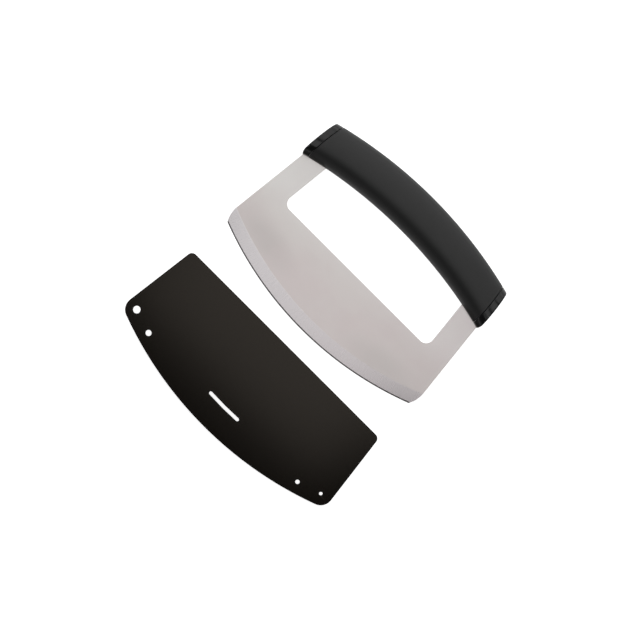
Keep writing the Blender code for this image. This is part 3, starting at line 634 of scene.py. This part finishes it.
class Nodes:
    """Short ways to add nodes to a tree."""

    def __init__(self, tree):
        self.tree = tree

    def node(self, kind, settings=None, **inputs):
        """A new node. An input's value may be a plain value or another node's output."""
        made = self.tree.nodes.new(kind)
        for key, value in (settings or {}).items():
            setattr(made, key, value)
        for key, value in inputs.items():
            self.set_input(made, key.replace("_", " "), value)
        return made

    def set_input(self, node, name, value):
        """Set or link one input, named or numbered."""
        socket = node.inputs[int(name[5:])] if name.startswith("slot ") else node.inputs[name]
        if isinstance(value, bpy.types.NodeSocket):
            self.tree.links.new(value, socket)
        else:
            socket.default_value = value

    def parts(self, vector):
        """The X, Y and Z outputs of a vector."""
        return self.node("ShaderNodeSeparateXYZ", Vector=vector).outputs

    def math(self, operation, *values):
        """A Math node's output."""
        inputs = {f"slot_{number}": value for number, value in enumerate(values)}
        return self.node("ShaderNodeMath", {"operation": operation}, **inputs).outputs[0]

    def vector(self, operation, *values):
        """A Vector Math node's output."""
        inputs = {f"slot_{number}": value for number, value in enumerate(values)}
        made = self.node("ShaderNodeVectorMath", {"operation": operation}, **inputs)
        return made.outputs["Value" if operation == "LENGTH" else "Vector"]

    def noise(self, places, scale, detail=2.0, roughness=0.5):
        """A grey noise, with its scale in cycles a metre."""
        settings = dict(Vector=places, Scale=scale, Detail=detail, Roughness=roughness)
        return self.node("ShaderNodeTexNoise", **settings).outputs["Fac"]

    def stretched_noise(self, places, cycles, detail=3.0, roughness=0.6):
        """A grey noise with its own cycles along each axis."""
        return self.noise(self.vector("MULTIPLY", places, cycles), 1.0, detail, roughness)

    def ramp(self, value, low, high, low_value=0.0, high_value=1.0):
        """A value mapped from one range to another, clamped, with soft ends."""
        limits = dict(From_Min=low, From_Max=high, To_Min=low_value, To_Max=high_value)
        made = self.node("ShaderNodeMapRange", {"interpolation_type": "SMOOTHSTEP"}, Value=value, **limits)
        return made.outputs["Result"]

    def mix(self, factor, first, second):
        """Two colours mixed."""
        made = self.node("ShaderNodeMix", {"data_type": "RGBA"})
        for number, value in ((0, factor), (6, first), (7, second)):
            self.set_input(made, f"slot {number}", value)
        return made.outputs[2]

    def bump(self, height, depth, strength):
        """A bump from a height of 0 to 1, with its depth in metres."""
        made = self.node("ShaderNodeBump", Height=height, Distance=depth, Strength=strength)
        return made.outputs["Normal"]

    def path(self, ray):
        """1 for one kind of ray, such as a camera ray, and 0 for others."""
        return self.node("ShaderNodeLightPath").outputs[f"Is {ray} Ray"]


class Finish(Nodes):
    """A procedural material under construction."""

    def __init__(self, name):
        self.material = bpy.data.materials.new(name)
        self.material.use_nodes = True
        super().__init__(self.material.node_tree)
        self.shader = self.tree.nodes["Principled BSDF"]

    def surface(self, **inputs):
        """Set or link inputs of the shader."""
        for key, value in inputs.items():
            self.set_input(self.shader, key.replace("_", " "), value)

    def places(self):
        """The piece's own coordinates, in metres."""
        return self.node("ShaderNodeTexCoord").outputs["Object"]


def ground_masks(finish, radius):
    """Masks of the wide bevel and of the honed strip, by the distance from the edge's centre."""
    masks = []
    for width in (GRIND_WIDTH, HONE_WIDTH):
        start = EDGE_RADIUS - width
        masks.append(finish.ramp(radius, start - BEVEL_BLEND, start + BEVEL_BLEND))
    return masks


def painted_patch_shade(finish, places, centre, strength):
    """How much of a soft patch of painted shade lies on a place. It is flattened along the edge's slope."""
    turned = finish.node(
        "ShaderNodeMapping",
        {"vector_type": "TEXTURE"},
        Vector=places,
        Location=centre,
        Rotation=(0, 0, math.copysign(PATCH_TURN, centre[0])),
        Scale=(1.0, PATCH_FLATNESS, 1.0),
    ).outputs[0]
    return finish.ramp(finish.vector("LENGTH", turned), *PATCH_REACH, strength, 0.0)


def plate_colour(finish, places, painted_left_light):
    """The plate's colour: painted light at the window, on the arms and to the left, and two soft patches of
    painted shade.
    """
    above_edge = finish.math("SUBTRACT", finish.parts(places)[1], EDGE_Y)
    clouds = finish.ramp(finish.noise(places, scale=34.0, detail=3.0, roughness=0.6), *NARROW_BAND)
    # Painted light: paler towards the window and to the left
    pale = finish.math("MULTIPLY", painted_left_light, finish.ramp(above_edge, *WINDOW_PAINTED_LIGHT_SPAN))
    pale = finish.math("MULTIPLY", pale, 1 - CLOUD_SHARE)
    plate = finish.mix(finish.math("MULTIPLY_ADD", clouds, CLOUD_SHARE, pale), *PLATE_COLOURS)
    cloudiness = finish.math("MULTIPLY_ADD", clouds, *PATCH_CLOUDS)
    # Soft patches of painted shade, varied by the clouds
    for centre, strength in PAINTED_SHADE_PATCHES:
        shade = painted_patch_shade(finish, places, centre, strength)
        plate = finish.mix(finish.math("MULTIPLY", shade, cloudiness), plate, PAINTED_SHADE_COLOUR)
    # Painted light on the arms: white mixed in
    return finish.mix(finish.ramp(above_edge, *ARMWARD_SPAN, 0.0, ARM_PAINTED_LIGHT), plate, WHITE)


def painted_ridge_highlight(finish, radius, painted_left_light):
    """How bright the painted highlight is along the line at which plate and bevel meet."""
    distance = finish.math("ABSOLUTE", finish.math("SUBTRACT", radius, EDGE_RADIUS - GRIND_WIDTH))
    return finish.math("MULTIPLY", finish.ramp(distance, *RIDGE_WIDTHS, RIDGE_HIGHLIGHT_STRENGTH, 0.0), painted_left_light)


def blade_steel():
    """Satin stainless steel, with lengthwise grain on the plate and crosswise grind marks on the bevel, and
    painted light and shade in its colour.
    """
    finish = Finish("satin_blade_steel")
    places = finish.places()
    from_centre = finish.vector("SUBTRACT", places, (0, EDGE_Y + EDGE_RADIUS, MIDDLE_Z))
    level = finish.vector("MULTIPLY", from_centre, (1, 1, 0))
    radius = finish.vector("LENGTH", level)
    bevel, hone = ground_masks(finish, radius)
    painted_left_light = finish.ramp(finish.parts(places)[0], *LEFTWARD_SPAN, 1.0, 0.0)
    # Painted light: the bevel is paler to the left
    bevel_painted_light_colour = finish.mix(painted_left_light, *BEVEL_PAINTED_LIGHT_COLOURS)
    colour = finish.mix(bevel, plate_colour(finish, places, painted_left_light), bevel_painted_light_colour)
    # Painted highlight where plate and bevel meet
    colour = finish.mix(painted_ridge_highlight(finish, radius, painted_left_light), colour, RIDGE_HIGHLIGHT_COLOUR)

    lengthwise = finish.stretched_noise(places, PLATE_GRAIN)
    crosswise = finish.stretched_noise(finish.vector("NORMALIZE", level), BEVEL_MARKS)
    grain = finish.mix(bevel, lengthwise, finish.math("MULTIPLY_ADD", crosswise, *MARK_CONTRAST))
    roughness = finish.ramp(grain, *MIDDLE_BAND, *STEEL_ROUGHNESS)
    roughness = finish.math("SUBTRACT", roughness, finish.math("MULTIPLY", bevel, BEVEL_POLISH))
    roughness = finish.math("SUBTRACT", roughness, finish.math("MULTIPLY", hone, HONE_POLISH))
    finish.surface(
        Base_Color=colour,
        Metallic=1.0,
        Roughness=roughness,
        Normal=finish.bump(grain, *STEEL_RELIEF),
    )
    return finish.material


def grip_rubber():
    """Matte soft-touch black with a fine moulded grain."""
    finish = Finish("soft_grip_rubber")
    places = finish.places()
    clouds = finish.noise(places, scale=45.0, detail=3.0)
    grain = finish.noise(places, scale=3000.0, detail=2.0, roughness=0.6)
    finish.surface(
        Base_Color=finish.mix(clouds, *GRIP_COLOURS),
        Roughness=finish.ramp(grain, *WIDE_BAND, *GRIP_ROUGHNESS),
        Normal=finish.bump(grain, *GRIP_RELIEF),
        Specular_IOR_Level=GRIP_SPECULAR,
    )
    return finish.material


def cap_plastic():
    """Glossy black moulded plastic with a faint waviness and fine rub marks."""
    finish = Finish("gloss_cap_plastic")
    places = finish.places()
    waves = finish.noise(places, scale=160.0, detail=1.0)
    rubs = finish.stretched_noise(places, CAP_RUBS)
    finish.surface(
        Base_Color=finish.mix(waves, *CAP_COLOURS),
        Roughness=finish.ramp(rubs, *HIGH_BAND, *CAP_ROUGHNESS),
        Normal=finish.bump(waves, *CAP_RELIEF),
        Specular_IOR_Level=CAP_SPECULAR,
    )
    return finish.material


def cover_plastic():
    """Satin black moulded plastic with a fine spark-eroded grain."""
    finish = Finish("satin_cover_plastic")
    places = finish.places()
    clouds = finish.noise(places, scale=35.0, detail=2.0)
    grain = finish.noise(places, scale=2600.0, detail=3.0, roughness=0.65)
    finish.surface(
        Base_Color=finish.mix(clouds, *COVER_COLOURS),
        Roughness=finish.ramp(grain, *MIDDLE_BAND, *COVER_ROUGHNESS),
        Normal=finish.bump(grain, *COVER_RELIEF),
        Specular_IOR_Level=COVER_SPECULAR,
        Specular_Tint=COVER_SHEEN,
    )
    return finish.material


def core_plastic():
    """Grey-black rigid plastic of the hidden core."""
    finish = Finish("core_plastic")
    places = finish.places()
    flow = finish.noise(places, scale=120.0, detail=3.0)
    grain = finish.noise(places, scale=1800.0, detail=2.0)
    finish.surface(
        Base_Color=finish.mix(flow, *CORE_COLOURS),
        Roughness=finish.ramp(grain, *WIDE_BAND, *CORE_ROUGHNESS),
        Normal=finish.bump(grain, *CORE_RELIEF),
    )
    return finish.material


def fastener_steel():
    """Turned steel of the screws and pins."""
    finish = Finish("fastener_steel")
    rings = finish.stretched_noise(finish.places(), FASTENER_RINGS, detail=2.0, roughness=0.5)
    finish.surface(
        Base_Color=finish.mix(rings, *FASTENER_COLOURS),
        Metallic=1.0,
        Roughness=finish.ramp(rings, *WIDE_BAND, *FASTENER_ROUGHNESS),
        Normal=finish.bump(rings, *FASTENER_RELIEF),
    )
    return finish.material


# The knife's pieces

def grind_profile(face):
    """What the wide bevel and the honed edge take off one face, as distance from the axis and height."""
    slope = (BLADE_THICKNESS - GRIND_LAND) / 2 / GRIND_WIDTH
    hone_start = EDGE_RADIUS - HONE_WIDTH
    hone_height = GRIND_LAND / 2 + slope * HONE_WIDTH
    hone_slope = (hone_height - HONE_LAND / 2) / HONE_WIDTH
    inner = EDGE_RADIUS - GRIND_WIDTH - CUT_MARGIN
    outer = EDGE_RADIUS + HONE_WIDTH
    top = BLADE_THICKNESS / 2 + CUT_MARGIN
    profile = [
        (outer, top),
        (outer, HONE_LAND / 2 - hone_slope * (outer - EDGE_RADIUS)),
        (hone_start, hone_height),
        (inner, BLADE_THICKNESS / 2 + slope * CUT_MARGIN),
        (inner, top),
    ]
    return [(x, face * z) for x, z in profile][::face]


def make_blade():
    """The ground and honed plate with its arms and tangs."""
    outlines = [blade_outline(), *tang_holes()]
    blank = plate_mesh("blade_plate", outlines, BLADE_THICKNESS / 2, BLADE_ROUNDING, BLADE_ROUNDING_STEPS)
    blade = helper("blade_blank", blank, KNIFE_PLACE)
    axis = KNIFE_PLACE + Vector((0, EDGE_RADIUS, 0))
    grinds = [turned_cutter("grind", grind_profile(face), axis) for face in (1, -1)]
    mesh = shaped(blade, [("DIFFERENCE", grind) for grind in grinds])
    soften(mesh)
    piece("blade_plate", mesh, blade_steel(), "knife", "blade")


def slot_cutters():
    """Helpers for the slots that the arms pass through."""
    cutters = []
    for side in (-1, 1):
        outline = [
            Vector((window_x(BLADE_HEIGHT) - FIT_GAP, BLADE_HEIGHT)),
            Vector((side_x(BLADE_HEIGHT) + FIT_GAP, BLADE_HEIGHT)),
            *tang_outline(FIT_GAP),
        ]
        outline = [Vector((side * point.x, point.y)) for point in outline]
        mesh = plate_mesh("slot", [outline], BLADE_THICKNESS / 2 + FIT_GAP)
        cutters.append(helper("slot", mesh, KNIFE_PLACE))
    return cutters


def seam_flank(side):
    """Shares and insets down one flank of the seam's groove: the sleeve's (-1) or the cap's (1)."""
    full = grip_reach()
    centre = seam_share() + FIT_GAP / 2 / full
    flank = []
    for step in range(ROLL_STEPS + 1):
        angle = math.pi / 2 * step / ROLL_STEPS
        across = SEAM_GAP / 2 + SEAM_FLANK * (1 - math.sin(angle))
        flank.append((centre + side * across / full, SEAM_DEPTH * (1 - math.cos(angle))))
    return flank


def make_sleeve():
    """The soft sleeve: an outer skin rolled in at both ends, and its bore."""
    flank = seam_flank(-1)
    end, flat_end = flank[-1][0], flank[0][0]
    spread = [2 * step / GRIP_STEPS - 1 for step in range(GRIP_STEPS + 1)]
    rings = [section(-share, inset) for share, inset in reversed(flank[1:])]
    rings += [section(place * flat_end, 0) for place in spread]
    rings += [section(share, inset) for share, inset in flank[1:]]
    rings += [section(-place * end, SLEEVE_WALL) for place in spread]
    geometry = bmesh.new()
    loft_faces(geometry, rings, closed=True)
    skin = helper("sleeve_skin", clean_mesh("grip_soft_sleeve", geometry), KNIFE_PLACE)
    mesh = shaped(skin, [("DIFFERENCE", cutter) for cutter in slot_cutters()])
    mesh.set_sharp_from_angle(angle=CREASE)
    piece("grip_soft_sleeve", mesh, grip_rubber(), "knife", "grip_sleeve")


def cap_rings(side):
    """Rings of a cap from its seam round its outer edge to the middle of its slightly domed end."""
    full = grip_reach()
    flank = seam_flank(1)[::-1]
    flat_start = flank[-1][0]
    flat_end = 1 - CAP_ROUNDING / full
    rings = [section(side * share, inset) for share, inset in flank]
    for step in range(1, ROUNDING_STEPS + 1):
        way = step / ROUNDING_STEPS
        share = flat_start + (flat_end - flat_start) * way
        rings.append(section(side * share, 0, fall=CAP_FALL * way))
    for step in range(1, ROUNDING_STEPS + 1):
        angle = math.pi / 2 * step / ROUNDING_STEPS
        share = flat_end + CAP_ROUNDING * math.sin(angle) / full
        rings.append(section(side * share, CAP_ROUNDING * (1 - math.cos(angle)), fall=CAP_FALL))
    for step in range(1, ROLL_STEPS + 1):
        way = step / ROLL_STEPS
        inset = CAP_ROUNDING + (GRIP_DEPTH / 2 - CAP_FALL - CAP_ROUNDING) * DOME_REACH * way
        rings.append(section(side, inset, CAP_DOME * (1 - (1 - way) ** 2), CAP_FALL))
    return rings


def make_caps():
    """The two glossy end caps."""
    finish = cap_plastic()
    for name, side, cutter in zip(("left", "right"), (-1, 1), slot_cutters()):
        geometry = bmesh.new()
        loft_faces(geometry, cap_rings(side), closed=False)
        blank = helper("cap_blank", clean_mesh(f"end_cap_gloss_{name}", geometry), KNIFE_PLACE)
        mesh = shaped(blank, [("DIFFERENCE", cutter)])
        mesh.set_sharp_from_angle(angle=CAP_CREASE)
        piece(f"end_cap_gloss_{name}", mesh, finish, "knife", f"end_cap_{name}")


# The cover's pieces

def cover_cutters():
    """Helpers for the pocket, its ribs and the lead-in at its mouth."""
    pocket = helper("pocket", plate_mesh("pocket", [pocket_outline()], POCKET_HALF_THICKNESS), COVER_PLACE)
    rib_face = BLADE_THICKNESS / 2 + RIB_CLEARANCE
    wall = POCKET_HALF_THICKNESS + COVER_WALL / 2
    ribs = []
    for face in (1, -1):
        low, high = sorted((face * rib_face, face * wall))
        for x in (-RIB_SPACING, RIB_SPACING):
            near = (x - RIB_WIDTH / 2, -RIB_SETBACK - RIB_LENGTH, low)
            far = (x + RIB_WIDTH / 2, -RIB_SETBACK, high)
            ribs.append(helper("rib", box_mesh("rib", near, far), COVER_PLACE))
    ribbed = helper("ribbed_pocket", shaped(pocket, [("DIFFERENCE", rib) for rib in ribs]), (0, 0, 0))
    outside = POCKET_HALF_THICKNESS + MOUTH_LEAD * (1 + CUT_MARGIN / MOUTH_LEAD_LENGTH)
    inside = POCKET_HALF_THICKNESS - MOUTH_LEAD
    lead = [
        Vector((-2 * MOUTH_LEAD_LENGTH, inside)),
        Vector((-2 * MOUTH_LEAD_LENGTH, -inside)),
        Vector((CUT_MARGIN, -outside)),
        Vector((CUT_MARGIN, outside)),
    ]
    mesh = plate_mesh("mouth_lead", [lead], blade_reach() + CUT_MARGIN)
    return [ribbed, helper("mouth_lead", mesh, COVER_PLACE, (math.pi / 2, 0, math.pi / 2))]


def make_cover():
    """The two shells of the cover."""
    finish = cover_plastic()
    outlines = [cover_outline(), slot_outline(), *cover_holes()]
    for name, face in (("front", 1), ("back", -1)):
        blank = plate_mesh(
            "cover_blank", outlines, COVER_HALF_THICKNESS, COVER_ROUNDING, COVER_ROUNDING_STEPS
        )
        parting, far = sorted((face * FIT_GAP / 2, face * (COVER_HALF_THICKNESS + CUT_MARGIN)))
        reach = blade_reach() + COVER_HEIGHT
        side = box_mesh("side", (-reach, -COVER_HEIGHT - CUT_MARGIN, parting), (reach, CUT_MARGIN, far))
        shell = helper("cover_blank", blank, COVER_PLACE)
        operations = [("INTERSECT", helper("side", side, COVER_PLACE))]
        operations += [("DIFFERENCE", cutter) for cutter in cover_cutters()]
        mesh = shaped(shell, operations)
        mesh.set_sharp_from_angle(angle=COVER_CREASE)
        piece(f"cover_satin_{name}", mesh, finish, "cover", f"cover_{name}_shell")


def dress_hidden_nodes():
    """Procedural finishes for the CAD nodes that stay."""
    plastic, steel = core_plastic(), fastener_steel()
    for name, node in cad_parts.items():
        if "screw" in name or "pin" in name:
            finish = steel
        elif name.startswith("core_"):
            finish = plastic
        else:
            continue
        node.data.materials.clear()
        node.data.materials.append(finish)


# The studio

def make_floor():
    """A large white floor that keeps the object's shadow."""
    bpy.ops.mesh.primitive_plane_add(size=FLOOR_SIZE)
    floor = bpy.context.object
    floor.name = "floor"
    finish = Finish("white_floor")
    mirrored_rays = finish.math("MAXIMUM", finish.path("Glossy"), finish.path("Transmission"))
    seen = finish.math("MULTIPLY", finish.path("Camera"), CAMERA_GLOW)
    finish.surface(
        Base_Color=FLOOR_COLOUR,
        Roughness=FLOOR_ROUGHNESS,
        Specular_IOR_Level=FLOOR_SPECULAR,
        Emission_Color=WHITE,
        Emission_Strength=finish.math("MULTIPLY_ADD", mirrored_rays, MIRROR_GLOW, seen),
    )
    floor.data.materials.append(finish.material)


def softbox(name, centre, aim, width, depth, radiance):
    """An area lamp of a set brightness, hidden from the camera."""
    lamp = bpy.data.lights.new(name, "AREA")
    lamp.shape = "RECTANGLE"
    lamp.size = width
    lamp.size_y = depth
    lamp.energy = radiance * math.pi * width * depth
    item = bpy.data.objects.new(name, lamp)
    bpy.context.scene.collection.objects.link(item)
    item.location = centre
    item.rotation_euler = (Vector(aim) - Vector(centre)).to_track_quat("-Z", "Y").to_euler()
    item.visible_camera = False


def overhead(name, low, high, radiance):
    """A softbox straight above the object, between two corners."""
    low, high = Vector((*low, LAMP_HEIGHT)), Vector((*high, LAMP_HEIGHT))
    centre = (low + high) / 2
    softbox(name, centre, (centre.x, centre.y, 0), *(high - low).xy, radiance)


def make_world():
    """White for the camera, and for the rest pale near the horizon and at the sides, and dark above."""
    world = bpy.data.worlds.new("studio")
    world.use_nodes = True
    bpy.context.scene.world = world
    nodes = Nodes(world.node_tree)
    x, _, z = nodes.parts(nodes.node("ShaderNodeTexCoord").outputs["Generated"])
    low = nodes.ramp(z, *HORIZON_FADE, HORIZON_LEVEL, SKY_LEVEL)
    side = nodes.ramp(nodes.math("ABSOLUTE", x), *SIDE_RISE, 0.0, SIDE_LEVEL)
    side = nodes.math("MULTIPLY", side, nodes.ramp(z, *SIDE_FADE, 1.0, 0.0))
    level = nodes.math("MAXIMUM", low, side)
    background = world.node_tree.nodes["Background"]
    nodes.set_input(background, "Color", WHITE)
    nodes.set_input(background, "Strength", nodes.math("MAXIMUM", level, nodes.path("Camera")))


def make_camera():
    """Straight above the object, as in the photograph."""
    camera = bpy.data.cameras.new("camera")
    camera.sensor_width = SENSOR_WIDTH
    camera.lens = SENSOR_WIDTH * CAMERA_HEIGHT / VIEW_WIDTH
    camera.clip_end = CLIP_END
    item = bpy.data.objects.new("camera", camera)
    bpy.context.scene.collection.objects.link(item)
    item.location = CAMERA_AIM + Vector((0, 0, CAMERA_HEIGHT))
    item.rotation_euler = (0, 0, CAMERA_TURN)
    bpy.context.scene.camera = item


def make_studio():
    """Floor, lamps, world and camera."""
    make_floor()
    for name, (low, high, radiance) in OVERHEAD_LAMPS.items():
        overhead(name, low, high, radiance)
    for name, (centre, aim, radiance) in BACK_LAMPS.items():
        softbox(name, centre, aim, *BACK_LAMP_SIZE, radiance)
    make_world()
    make_camera()
    bpy.context.scene.view_settings.view_transform = "Standard"


make_blade()
make_sleeve()
make_caps()
make_cover()
dress_hidden_nodes()
make_studio()
